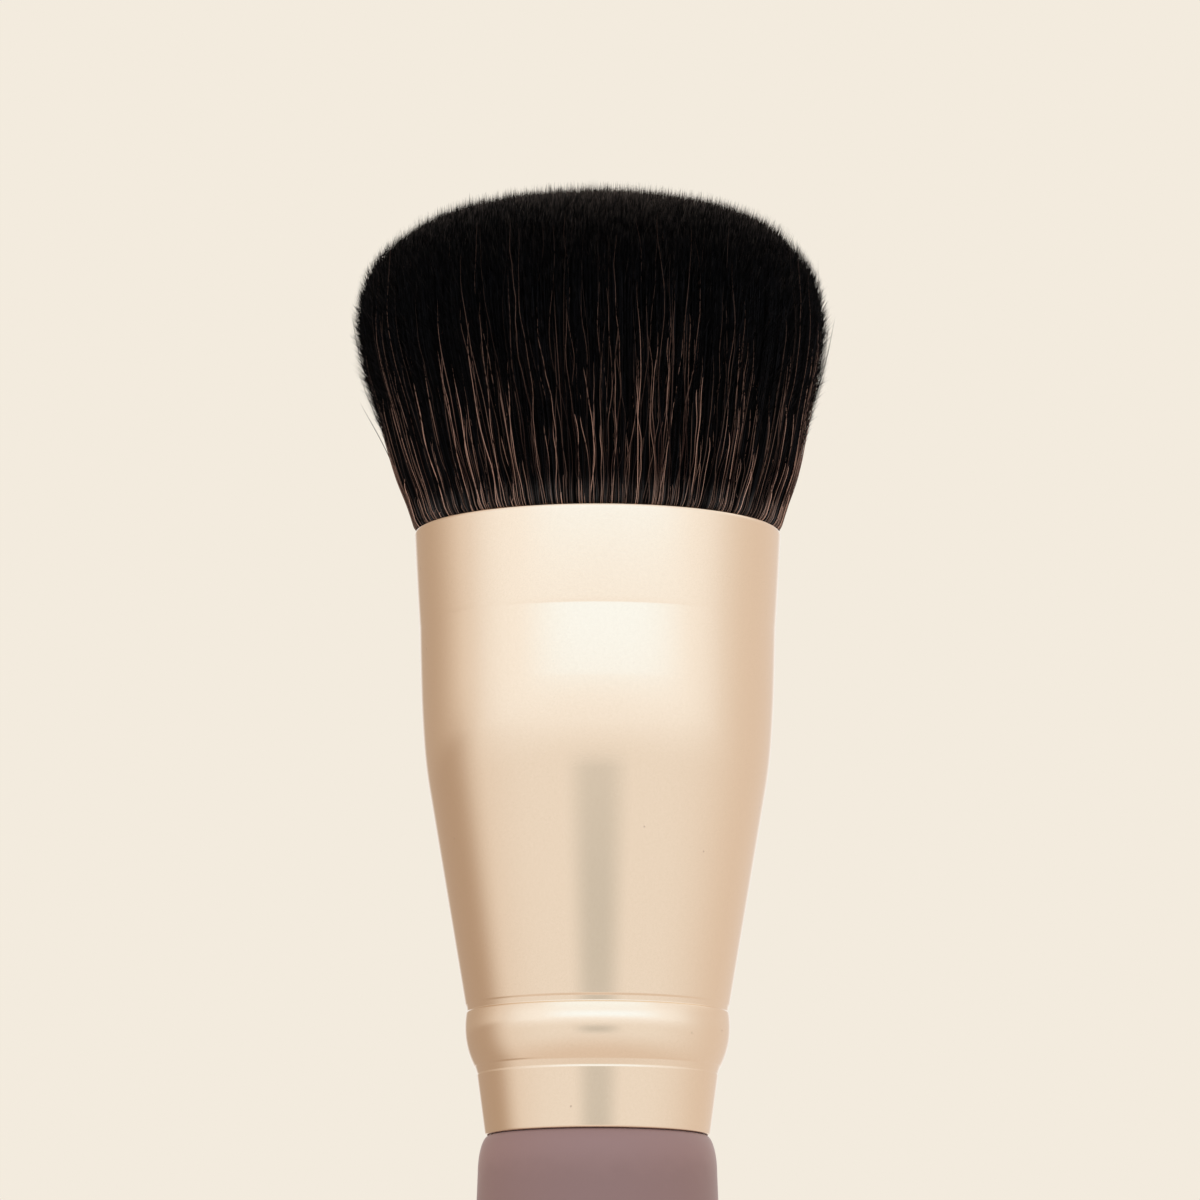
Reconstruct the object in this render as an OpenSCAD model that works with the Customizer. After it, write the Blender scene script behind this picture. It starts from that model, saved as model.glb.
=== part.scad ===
// Foundation brush: a dense domed head of fine filaments in a spun aluminium
// ferrule, on a turned wooden handle with a soft-touch coating.
// Millimetres. The origin is the centre of the handle's flat base, +Z runs up
// the handle, and the head is at the top.

/* [Handle] */
// Height of the handle, from its flat base to the top of its shoulder
handle_h = 108.15; // [100:0.05:118]
// Diameter of the straight grip, the widest stretch of the handle
grip_d = 15.5; // [15:0.1:17]
// Height at which the straight grip starts
grip_from = 30; // [20:1:36]
// Length of the straight grip
grip_len = 42; // [30:1:50]
// Diameter of the handle just above its rounded base edge
base_d = 14; // [12.5:0.1:15]
// Radius of the rounded edge round the flat base
base_edge_r = 0.9; // [0.5:0.1:2]
// How far the handle stands proud of the ferrule's lower edge, all round
neck_proud = 0.39; // [0.25:0.01:0.7]
// Height of the shoulder's rounding under the ferrule
shoulder_h = 2.2; // [1:0.1:4]
// Width of the flat ring between the tenon and the shoulder's rounding
shoulder_land = 0.27; // [0.1:0.01:0.4]
// Thickness of the soft-touch coating
coat_t = 0.2; // [0.1:0.05:0.3]
// Length of the tenon above the shoulder
tenon_len = 12.7; // [10:0.1:14]
// Chamfer round the tenon's end
tenon_chamfer = 0.5; // [0.2:0.1:1]

/* [Ferrule] */
// Thickness of the spun aluminium wall
wall_t = 0.45; // [0.3:0.05:0.6]
// Outer diameter at the lower edge, next to the handle
edge_d = 13.4; // [13:0.1:13.8]
// Radius that breaks the lower edge
edge_break_r = 0.15; // [0.05:0.05:0.25]
// Outer diameter of the collar where it meets the bead
collar_d = 14.4; // [14:0.1:14.8]
// Length of the collar
collar_len = 3.8; // [3:0.1:6]
// How far the rounded bead stands proud of the collar, all round
bead_proud = 0.65; // [0.3:0.05:0.8]
// Length of the bead, from one groove line to the other
bead_len = 3.8; // [3.4:0.1:4.4]
// Radius of the bead's rounded section
bead_curve_r = 6; // [5:0.5:8]
// Depth of the two pressed groove lines
groove_depth = 0.09; // [0.05:0.01:0.2]
// Width of the two pressed groove lines
groove_w = 0.5; // [0.2:0.02:0.6]
// How far the foot of the cone stands proud of the collar, all round
cone_proud = 0.72; // [0.5:0.02:0.9]
// Length of the cone
cone_len = 15.33; // [13:0.01:18]
// Outer diameter at the soft corner between the cone and the barrel
corner_d = 20.84; // [20.4:0.02:21.2]
// Radius that softens this corner
corner_blend_r = 30; // [10:1:40]
// Length of the barrel, from the soft corner to the mouth
barrel_len = 13.27; // [11:0.01:16]
// Outer diameter at the mouth
mouth_d = 22; // [21.6:0.1:22.6]
// Thickness of the lip, whose sheet is rolled inwards
lip_t = 0.6; // [0.6:0.05:1.1]
// Height of the rolled lip
lip_h = 1.2; // [1:0.1:2]

/* [Knot and glue] */
// Thickness of the glue round the tenon at the ferrule's lower edge
glue_t = 0.1; // [0.05:0.01:0.2]
// How far the glue stays back from the ferrule's lower edge
glue_back = 0.3; // [0.1:0.1:1]
// Length of the glue along the tenon
glue_len = 8; // [5:0.5:9]
// Height of the resin plug between the tenon and the filament roots
plug_h = 6; // [4:0.5:7]
// Height of the resin-bound slice of roots above the plug
slice_h = 3; // [2:0.5:4]
// Radial gap between the bound roots and the ferrule at the slice's foot
knot_gap = 0.3; // [0.2:0.05:0.5]
// Width of the thread band tied round the roots
band_w = 1.2; // [0.8:0.1:1.6]
// Thickness of the thread band
band_t = 0.35; // [0.2:0.05:0.4]
// Radius of the thread band's rounded edges
band_edge_r = 0.12; // [0.05:0.01:0.15]

/* [Head of filaments] */
// Largest diameter of the head
head_d = 28.8; // [26:0.2:32]
// Height of that largest diameter above the mouth
belly_h = 12.85; // [11:0.05:15]
// Height of the dome above the largest diameter
dome_h = 7.65; // [6:0.05:10]
// Roundness of the dome, where 2 is an ellipse and more is fuller
dome_power = 2.5; // [2:0.1:3]
// Rings of strands round the central one
ring_count = 10; // [10:1:11]
// Last ring of the core
core_rings = 5; // [3:1:6]
// Last ring of the middle
middle_rings = 8; // [7:1:8]
// Radius of a strand at its root
root_strand_r = 0.3; // [0.2:0.01:0.32]
// Radius of a strand where the head is full
full_strand_r = 0.68; // [0.4:0.01:0.7]
// Outward bow of the outermost strands
strand_bow = 0.4; // [0.3:0.1:1]
// How much the heights of the tips vary
tip_vary = 0.5; // [0:0.1:0.8]
// Sideways swing of the crimped strands
crimp_swing = 0.3; // [0.1:0.05:0.35]

/* [Hidden] */

// Fineness of the turned surfaces and of the root slices
turned_fn = 96;
slice_fn = 36;
arc_steps = 10;
curve_steps = 14;

// Gap that shows as a dark line between the shoulder and the ferrule
seat_gap = 0.15;
// Clear space between the filaments and the rolled lip
lip_clear = 0.3;
// Space between the outermost strands' centres and the edge of the slice
root_inset = 0.45;
// Height of the thread band above the slice's foot
band_rise = 1.4;
// Overrun of a cutting solid past what it cuts
over = 1;

// Turn from one ring of strands to the next, and sides of a strand
ring_turn = 137.5;
strand_sides = 3;
// Strands that each ring gains on the one inside it, on average
ring_step = 5.5;
// Heights of the stations on a strand, as shares of its length past the mouth
inner_shares = [0.85];
outer_shares = [0.5, 0.88];
crimp_shares = [0.2, 0.4, 0.6, 0.8];
// Share of its length by which a strand has its full radius
full_from = 0.4;
// Swings of a crimped strand from the mouth to its tip
crimp_waves = 1.25;
// How the tips spread over the dome, as a power of the ring's share
spread_power = 0.85;

mauve = [0.58, 0.47, 0.455];
turned_wood = [0.80, 0.66, 0.48];
champagne = [0.86, 0.78, 0.66];
clear_glue = [0.90, 0.86, 0.74];
resin = [0.78, 0.70, 0.52];
tied_thread = [0.88, 0.86, 0.80];
black_fibre = [0.06, 0.05, 0.055];
brown_fibre = [0.40, 0.29, 0.25];

edge_rad = edge_d / 2;
collar_rad = collar_d / 2;
bead_rad = collar_rad + bead_proud;
cone_foot_rad = collar_rad + cone_proud;
corner_rad = corner_d / 2;
mouth_rad = mouth_d / 2;
belly_rad = head_d / 2;
grip_rad = grip_d / 2;
base_rad = base_d / 2;

// The tenon passes the narrowest place of the ferrule
tenon_rad = min(edge_rad, collar_rad - groove_depth) - wall_t - glue_t;
neck_rad = edge_rad + neck_proud;
shoulder_in = neck_rad - tenon_rad - shoulder_land;

neck_z = handle_h - shoulder_h;
grip_top = grip_from + grip_len;
tenon_top = handle_h + tenon_len;
edge_z = handle_h + seat_gap;
low_groove_z = edge_z + collar_len;
high_groove_z = low_groove_z + bead_len;
corner_z = high_groove_z + cone_len;
mouth_z = corner_z + barrel_len;
slice_z = tenon_top + plug_h;
slice_top = slice_z + slice_h;
belly_z = mouth_z + belly_h;

// The bead is an arc that starts where the collar ends
bead_rise = sqrt(pow(bead_curve_r, 2) - pow(bead_curve_r - bead_proud, 2));
bead_centre = [bead_rad - bead_curve_r, low_groove_z + bead_rise];

cone_lean = atan((corner_rad - cone_foot_rad) / cone_len);
barrel_lean = atan((mouth_rad - corner_rad) / barrel_len);

cone_rad_at_slice = cone_foot_rad + (slice_z - high_groove_z) * tan(cone_lean);
knot_rad = cone_rad_at_slice - wall_t - knot_gap;
root_spread = knot_rad - root_inset;
ring_pitch = root_spread / ring_count;
mouth_spread = mouth_rad - lip_t - lip_clear - root_strand_r;

function mix(a, b, share) = a + (b - a) * share;

function reversed(pts) = [for (i = [len(pts) - 1 : -1 : 0]) pts[i]];

// Points of an arc, anticlockwise from the angle a0 to the angle a1
function arc_pts(centre, r, a0, a1, steps = arc_steps) = [
    for (i = [0 : steps])
        let (a = mix(a0, a1, i / steps))
        centre + r * [cos(a), sin(a)]
];

// The handle's outline in radius and height, drawn in by inset
function handle_outline(inset) = concat(
    [[0, inset]],
    arc_pts([base_rad - base_edge_r, base_edge_r], base_edge_r - inset, -90, 0),
    [
        for (i = [1 : curve_steps])
            let (share = i / curve_steps, back = 1 - share)
            [
                grip_rad - inset - (grip_rad - base_rad) * back * back,
                mix(base_edge_r, grip_from, share)
            ]
    ],
    [
        for (i = [0 : curve_steps - 1])
            let (share = i / curve_steps)
            [
                grip_rad - inset - (grip_rad - neck_rad) * share * share,
                mix(grip_top, neck_z, share)
            ]
    ],
    [
        for (i = [0 : arc_steps])
            let (a = 90 * i / arc_steps)
            [
                neck_rad - shoulder_in + (shoulder_in - inset) * cos(a),
                neck_z + (shoulder_h - inset) * sin(a)
            ]
    ],
    [[0, handle_h - inset]]
);

// A pressed groove line, from the radius r0 below it to the radius r1 above it
function groove_pts(r0, r1, z) = [
    for (i = [0 : arc_steps])
        let (share = i / arc_steps)
        [
            mix(r0, r1, share) - groove_depth * sin(180 * share),
            z + groove_w * (share - 0.5)
        ]
];

function bead_angle(z) = asin((z - bead_centre[1]) / bead_curve_r);
function bead_r_at(z) = bead_centre[0] + bead_curve_r * cos(bead_angle(z));

// The tangent arc that softens the corner between the cone and the barrel
function corner_pts() =
    let (
        bend = cone_lean < barrel_lean ? -corner_blend_r : corner_blend_r,
        back = bend * tan((cone_lean - barrel_lean) / 2),
        start = [corner_rad, corner_z] - back * [sin(cone_lean), cos(cone_lean)],
        centre = start + bend * [-cos(cone_lean), sin(cone_lean)]
    )
    arc_pts(centre, bend, -cone_lean, -barrel_lean);

// The ferrule's outer line, from its lower edge to the foot of the lip
function wall_line() =
    let (
        low_from = low_groove_z - groove_w / 2,
        low_to = low_groove_z + groove_w / 2,
        high_from = high_groove_z - groove_w / 2,
        collar_end = mix(edge_rad, collar_rad, (low_from - edge_z) / collar_len)
    )
    concat(
        groove_pts(collar_end, bead_r_at(low_to), low_groove_z),
        arc_pts(bead_centre, bead_curve_r, bead_angle(low_to), bead_angle(high_from)),
        groove_pts(bead_r_at(high_from), cone_foot_rad, high_groove_z),
        corner_pts(),
        [[mouth_rad - lip_h * tan(barrel_lean), mouth_z - lip_h]]
    );

function inner_line() = concat(
    [[edge_rad - wall_t, edge_z]],
    [for (p = wall_line()) [p[0] - wall_t, p[1]]]
);

module handle_solid(inset) {
    rotate_extrude($fn = turned_fn)
        polygon(handle_outline(inset));
}

module tenon() {
    rotate_extrude($fn = turned_fn)
        polygon([
            [0, handle_h / 2],
            [tenon_rad, handle_h / 2],
            [tenon_rad, tenon_top - tenon_chamfer],
            [tenon_rad - tenon_chamfer, tenon_top],
            [0, tenon_top]
        ]);
}

// Turned wooden handle with its tenon
module handle_core() {
    color(turned_wood)
        union() {
            handle_solid(coat_t);
            tenon();
        }
}

// Soft-touch coating over the whole of the handle but its tenon
module handle_coating() {
    color(mauve)
        difference() {
            handle_solid(0);
            handle_solid(coat_t);
            tenon();
        }
}

// The ferrule's hollow, which the glue and the resin plug fill in part
module ferrule_hollow() {
    rotate_extrude($fn = turned_fn)
        polygon(concat(
            [[0, edge_z]],
            inner_line(),
            [[0, mouth_z - lip_h]]
        ));
}

module hollow_between(z0, z1) {
    intersection() {
        ferrule_hollow();
        translate([0, 0, z0])
            cylinder(r = mouth_rad, h = z1 - z0, $fn = turned_fn);
    }
}

// Spun aluminium ferrule: collar, bead between two groove lines, cone, barrel and rolled lip
module ferrule() {
    lip_rad = lip_t / 2;
    lip_centre = [mouth_rad - lip_rad, mouth_z - lip_rad];
    color(champagne)
        rotate_extrude($fn = turned_fn)
            polygon(concat(
                arc_pts(
                    [edge_rad - edge_break_r, edge_z + edge_break_r],
                    edge_break_r,
                    -90,
                    0
                ),
                wall_line(),
                arc_pts(lip_centre, lip_rad, 0, 180),
                [[mouth_rad - lip_t, mouth_z - lip_h]],
                reversed(inner_line())
            ));
}

// Glue between the tenon and the ferrule
module tenon_glue() {
    color(clear_glue)
        difference() {
            hollow_between(edge_z + glue_back, edge_z + glue_back + glue_len);
            tenon();
        }
}

// Resin plug that holds the filament roots on top of the tenon
module root_plug() {
    color(resin)
        hollow_between(tenon_top, slice_z);
}

// Thread tied round the roots, as the band that its turns make
module knot_thread() {
    color(tied_thread)
        translate([0, 0, slice_z + band_rise])
            rotate_extrude($fn = turned_fn)
                polygon(concat(
                    [[knot_rad, 0]],
                    arc_pts(
                        [knot_rad + band_t - band_edge_r, band_edge_r],
                        band_edge_r,
                        -90,
                        0
                    ),
                    arc_pts(
                        [knot_rad + band_t - band_edge_r, band_w - band_edge_r],
                        band_edge_r,
                        0,
                        90
                    ),
                    [[knot_rad, band_w]]
                ));
}

// Height of the dome's surface above the slice, at a distance r from the axis
function dome_z(r) =
    belly_z - slice_top + dome_h * pow(1 - pow(r / belly_rad, dome_power), 1 / dome_power);

// Centre of a strand at a share of its way from the mouth to its tip, from the slice's top
function strand_at(ring_share, angle, tip, share, swing) =
    let (
        r = mix(mouth_spread * ring_share, tip[0], share)
            + strand_bow * ring_share * 4 * share * (1 - share),
        side = swing * sin(360 * crimp_waves * share),
        turned = angle + (r > 0 ? side / r * 180 / PI : 0)
    )
    [r * cos(turned), r * sin(turned), mix(mouth_z - slice_top, tip[1], share)];

// Radius of a strand at a share of its way from the mouth to its tip
function strand_r_at(share) = mix(root_strand_r, full_strand_r, min(1, share / full_from));

// One tapering strand, as rings of points round its stations and a pointed tip
module strand(stations, radii, tip, turn) {
    rings = len(stations);
    faces_round = [for (s = [0 : strand_sides - 1]) [s, (s + 1) % strand_sides]];
    points = concat(
        [
            for (k = [0 : rings - 1])
                for (s = [0 : strand_sides - 1])
                    let (a = turn + 360 * s / strand_sides)
                    stations[k] + radii[k] * [cos(a), sin(a), 0]
        ],
        [tip]
    );
    sides = [
        for (k = [0 : rings - 2])
            for (f = faces_round)
                let (low = k * strand_sides, high = low + strand_sides)
                each [
                    [low + f[0], high + f[0], high + f[1]],
                    [low + f[0], high + f[1], low + f[1]]
                ]
    ];
    last = (rings - 1) * strand_sides;
    cap = [for (f = faces_round) [last + f[0], rings * strand_sides, last + f[1]]];
    polyhedron(points, concat([[0, 1, 2]], sides, cap));
}

// The strands of one ring
module strand_ring(ring, shares, swing) {
    count = max(1, round(ring * ring_step));
    ring_share = ring / ring_count;
    tip_r = belly_rad * pow(ring_share, spread_power);
    for (i = [0 : count - 1]) {
        angle = 360 * i / count + ring * ring_turn;
        drop = ring == 0 ? 0 : tip_vary * (1 + sin(i * ring_turn)) / 2;
        tip = [tip_r, dome_z(tip_r) - (ring == ring_count ? 0 : drop)];
        root = ring_pitch * ring * [cos(angle), sin(angle)];
        path = [for (share = concat([0], shares)) strand_at(ring_share, angle, tip, share, swing)];
        strand(
            concat([[root[0], root[1], 0]], path),
            concat([root_strand_r, root_strand_r], [for (share = shares) strand_r_at(share)]),
            strand_at(ring_share, angle, tip, 1, swing),
            angle
        );
    }
}

// Strands of several rings, fused to their own ring of the resin-bound roots
module tuft(from_ring, to_ring, shares, swing) {
    outer = to_ring == ring_count ? knot_rad : (to_ring + 0.5) * ring_pitch;
    inner = (from_ring - 0.5) * ring_pitch;
    translate([0, 0, slice_top])
        resize([0, 0, 0])
            union() {
                translate([0, 0, -slice_h])
                    difference() {
                        cylinder(r = outer, h = slice_h, $fn = slice_fn);
                        if (inner > 0)
                            translate([0, 0, -over])
                                cylinder(r = inner, h = slice_h + 2 * over, $fn = slice_fn);
                    }
                for (ring = [from_ring : to_ring])
                    strand_ring(ring, shares, swing);
            }
}

// Black filaments of the core
module bristles_core() {
    color(black_fibre)
        tuft(0, core_rings, inner_shares, 0);
}

// Black filaments round the core
module bristles_middle() {
    color(black_fibre)
        tuft(core_rings + 1, middle_rings, inner_shares, 0);
}

// Black filaments under the outermost ring
module bristles_outer() {
    color(black_fibre)
        tuft(middle_rings + 1, ring_count - 1, outer_shares, 0);
}

// Brown crimped filaments of the outermost ring
module bristles_crimped() {
    color(brown_fibre)
        tuft(ring_count, ring_count, crimp_shares, crimp_swing);
}

handle_core();
handle_coating();
tenon_glue();
ferrule();
root_plug();
knot_thread();
bristles_core();
bristles_middle();
bristles_outer();
bristles_crimped();
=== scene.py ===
import math

import bpy
import numpy as np
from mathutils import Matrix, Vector
from mathutils.kdtree import KDTree


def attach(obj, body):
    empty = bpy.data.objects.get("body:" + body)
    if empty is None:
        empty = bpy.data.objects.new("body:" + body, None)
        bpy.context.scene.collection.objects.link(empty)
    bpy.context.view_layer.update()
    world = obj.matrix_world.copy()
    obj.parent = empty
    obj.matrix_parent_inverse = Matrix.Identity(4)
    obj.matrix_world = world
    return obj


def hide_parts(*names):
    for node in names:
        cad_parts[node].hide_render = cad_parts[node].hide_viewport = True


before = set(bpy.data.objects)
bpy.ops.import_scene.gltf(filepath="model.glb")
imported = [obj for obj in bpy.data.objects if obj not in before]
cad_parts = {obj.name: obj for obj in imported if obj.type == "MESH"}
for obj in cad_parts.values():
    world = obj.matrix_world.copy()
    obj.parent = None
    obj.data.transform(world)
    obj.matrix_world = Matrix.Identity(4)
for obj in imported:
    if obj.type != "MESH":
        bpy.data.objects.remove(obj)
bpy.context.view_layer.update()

# Foundation brush. All the dictionaries below are in millimetres and degrees,
# and the meshes are scaled to metres as they are made.
mm = 0.001
print("frame loaded with", len(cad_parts), "nodes")


def addNode(tree, kind, inputs=None, **settings):
    node = tree.nodes.new("ShaderNode" + kind)
    node.location = (200 * (len(tree.nodes) - 2), 0)
    for name, value in settings.items():
        setattr(node, name, value)
    for name, value in (inputs or {}).items():
        if isinstance(value, bpy.types.NodeSocket):
            tree.links.new(value, node.inputs[name])
        else:
            node.inputs[name].default_value = value
    return node


def addMath(tree, operation, a, b=0.0, c=0.0):
    return addNode(tree, "Math", {0: a, 1: b, 2: c}, operation=operation).outputs[0]


def multiply(tree, a, b):
    return addMath(tree, "MULTIPLY", a, b)


# Value between two limits turned into 0 to 1, with soft ends
def addSoftStep(tree, value, low, high):
    step = addNode(
        tree,
        "MapRange",
        {"Value": value, "From Min": low, "From Max": high},
        interpolation_type="SMOOTHSTEP",
    )
    return step.outputs["Result"]


def addMix(tree, share, a, b, blend="MIX"):
    mix = tree.nodes.new("ShaderNodeMix")
    mix.location = (200 * (len(tree.nodes) - 2), 0)
    mix.data_type = "RGBA"
    mix.blend_type = blend
    for index, value in ((0, share), (6, a), (7, b)):
        if isinstance(value, bpy.types.NodeSocket):
            tree.links.new(value, mix.inputs[index])
        elif index == 0:
            mix.inputs[index].default_value = value
        else:
            mix.inputs[index].default_value = (*value, 1.0)
    return mix.outputs[2]


# A number makes a float input with that value, and None makes a vector input
def newGroup(name, inputs, outputs):
    group = bpy.data.node_groups.new(name, "ShaderNodeTree")
    for socketName, value in inputs.items():
        kind = "NodeSocketVector" if value is None else "NodeSocketFloat"
        socket = group.interface.new_socket(socketName, in_out="INPUT", socket_type=kind)
        if value is not None:
            socket.default_value = value
    for socketName in outputs:
        group.interface.new_socket(socketName, in_out="OUTPUT", socket_type="NodeSocketFloat")
    start = group.nodes.new("NodeGroupInput")
    end = group.nodes.new("NodeGroupOutput")
    return group, start.outputs, end.inputs


def newMaterial(name, viewColour):
    material = bpy.data.materials.new(name)
    material.use_nodes = True
    material.diffuse_color = (*viewColour, 1.0)
    tree = material.node_tree
    shader = tree.nodes["Principled BSDF"]
    return material, tree, shader


def objectPlace(tree):
    return addNode(tree, "TexCoord").outputs["Object"]


# Height above the floor in millimetres
def objectHeight(tree, place):
    return multiply(tree, addNode(tree, "SeparateXYZ", {0: place}).outputs[2], 1000.0)


def addNoise(tree, place, scale, detail, roughness=0.5):
    values = {"Vector": place, "Scale": scale, "Detail": detail, "Roughness": roughness}
    return addNode(tree, "TexNoise", values).outputs["Fac"]


def setFinish(tree, shader, colour, rough):
    tree.links.new(colour, shader.inputs["Base Color"])
    tree.links.new(rough, shader.inputs["Roughness"])


# Gives the outputs of a node group placed with its own values
def placeGroup(tree, group, values):
    return addNode(tree, "Group", values, node_tree=group).outputs


# Lays another colour over the first by a share of a mask
def layColour(tree, colour, mask, share, other):
    return addMix(tree, multiply(tree, mask, share), colour, other)


# Bump from a height, with its depth in millimetres
def addBump(tree, shader, height, strength, depth):
    bump = addNode(tree, "Bump", {"Strength": strength, "Distance": depth * mm, "Height": height})
    tree.links.new(bump.outputs["Normal"], shader.inputs["Normal"])


def addObject(name, data):
    added = bpy.data.objects.new(name, data)
    bpy.context.scene.collection.objects.link(added)
    return added


cameraSetup = {
    "sideways": 0.15,
    "inFront": 390.0,
    "height": 78.2,
    "pitchUp": 9.07,
    "lens": 197.4,
    "sensor": 36.0,
}

cameraData = bpy.data.cameras.new("camera")
cameraData.sensor_width = cameraSetup["sensor"]
cameraData.lens = cameraSetup["lens"]
cameraData.clip_start = 0.01
cameraData.clip_end = 20.0
camera = addObject("camera", cameraData)
cameraPlace = (cameraSetup["sideways"], -cameraSetup["inFront"], cameraSetup["height"])
camera.location = Vector(cameraPlace) * mm
camera.rotation_euler = (math.radians(90 + cameraSetup["pitchUp"]), 0, 0)
bpy.context.scene.camera = camera
bpy.context.scene.view_settings.view_transform = "Standard"
print("camera placed")

# The studio is a pale tent with soft panels, the later ones over the earlier.
# Azimuth 0 is the camera's side and 90 is the right of the picture, low and high
# are heights above the horizon, and all the angles are seen from the brush.
studio = {
    "cameraSees": (0.896, 0.831, 0.730),
    "tent": (0.80, 0.70, 0.635),
    "panels": [
        {"name": "overhead", "colour": (1.00, 0.98, 0.97), "azimuth": 60, "half": 50, "fade": 130,
         "low": 32, "high": 90, "lowFade": 24, "highFade": 1},
        {"name": "frontFill", "colour": (0.922, 0.903, 0.903), "azimuth": 2, "half": 35, "fade": 95,
         "low": -14, "high": 90, "lowFade": 32, "highFade": 1},
        {"name": "wideGlow", "colour": (1.045, 1.080, 1.145), "azimuth": 2, "half": 4, "fade": 104,
         "low": 4, "high": 40, "lowFade": 13, "highFade": 20},
        {"name": "upperGlow", "colour": (1.055, 1.100, 1.170), "azimuth": 0, "half": 34, "fade": 58,
         "low": 2.4, "high": 9, "lowFade": 2.6, "highFade": 12},
        {"name": "highBox", "colour": (1.065, 1.215, 1.380), "azimuth": 2, "half": 20, "fade": 40,
         "low": 22, "high": 34, "lowFade": 15, "highFade": 14},
        {"name": "frontBox", "colour": (1.075, 1.270, 1.500), "azimuth": 5, "half": 4, "fade": 56,
         "low": 6.2, "high": 7.5, "lowFade": 5.0, "highFade": 7},
        {"name": "leftFlag", "colour": (0.535, 0.420, 0.333), "azimuth": -156, "half": 0, "fade": 63,
         "low": -90, "high": 34, "lowFade": 1, "highFade": 30},
        {"name": "lowFlag", "colour": (0.500, 0.387, 0.307), "azimuth": -156, "half": 24, "fade": 52,
         "low": -90, "high": 0, "lowFade": 1, "highFade": 5},
        {"name": "rightEdge", "colour": (0.800, 0.700, 0.635), "azimuth": 152, "half": 12, "fade": 26,
         "low": -90, "high": 90, "lowFade": 1, "highFade": 1},
        {"name": "backBox", "colour": (0.98, 0.95, 0.92), "azimuth": 180, "half": 8, "fade": 14,
         "low": -10, "high": 50, "lowFade": 20, "highFade": 20},
    ],
}


def panelGroup():
    group, given, result = newGroup(
        "softPanel",
        {
            "Direction": None,
            "Facing": None,
            "Cos Outer": 0.0,
            "Cos Inner": 1.0,
            "Low Outer": -1.0,
            "Low Inner": -1.0,
            "High Inner": 1.0,
            "High Outer": 1.0,
        },
        ["Mask"],
    )
    flat = addNode(group, "VectorMath", {0: given["Direction"], 1: (1, 1, 0)}, operation="MULTIPLY")
    level = addNode(group, "VectorMath", {0: flat.outputs[0]}, operation="NORMALIZE")
    pair = {0: level.outputs[0], 1: given["Facing"]}
    facing = addNode(group, "VectorMath", pair, operation="DOT_PRODUCT")
    height = addNode(group, "SeparateXYZ", {0: given["Direction"]}).outputs[2]
    across = addSoftStep(group, facing.outputs["Value"], given["Cos Outer"], given["Cos Inner"])
    above = addSoftStep(group, height, given["Low Outer"], given["Low Inner"])
    below = addSoftStep(group, height, given["High Outer"], given["High Inner"])
    both = multiply(group, across, above)
    group.links.new(multiply(group, both, below), result["Mask"])
    return group


def makeStudio():
    world = bpy.data.worlds.new("studio")
    bpy.context.scene.world = world
    world.use_nodes = True
    tree = world.node_tree
    tree.nodes.clear()
    direction = addNode(tree, "TexCoord").outputs["Generated"]
    group = panelGroup()
    sliver = 1e-4  # keeps the two ends of a soft edge apart
    sine = lambda angle: math.sin(math.radians(max(-90, min(90, angle))))
    cosine = lambda angle: math.cos(math.radians(min(180, angle)))
    colour = studio["tent"]
    for panel in studio["panels"]:
        turn = math.radians(panel["azimuth"])
        edges = {
            "Direction": direction,
            "Facing": (math.sin(turn), -math.cos(turn), 0),
            "Cos Outer": cosine(panel["half"] + panel["fade"]) - sliver,
            "Cos Inner": cosine(panel["half"]),
            "Low Outer": sine(panel["low"] - panel["lowFade"]) - sliver,
            "Low Inner": sine(panel["low"]),
            "High Inner": sine(panel["high"]),
            "High Outer": sine(panel["high"] + panel["highFade"]) + sliver,
        }
        mask = addNode(tree, "Group", edges, node_tree=group, label=panel["name"])
        colour = addMix(tree, mask.outputs["Mask"], colour, panel["colour"])
    lit = addNode(tree, "Background", {"Color": colour})
    seen = addNode(tree, "Background", {"Color": (*studio["cameraSees"], 1.0)})
    ray = addNode(tree, "LightPath").outputs["Is Camera Ray"]
    either = addNode(tree, "MixShader", {0: ray, 1: lit.outputs[0], 2: seen.outputs[0]})
    output = addNode(tree, "OutputWorld")
    tree.links.new(either.outputs[0], output.inputs["Surface"])


# The camera and its stand show in the metal as one soft grey patch
standCard = {
    "inFront": 385.0,
    "top": 106.0,
    "topFade": 74.0,
    "topPower": 2.0,
    "bottom": -32.0,
    "bottomFade": 64.0,
    "half": 22.0,
    "sideFade": 158.0,
    "colour": (0.668, 0.672, 0.668),
}


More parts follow.
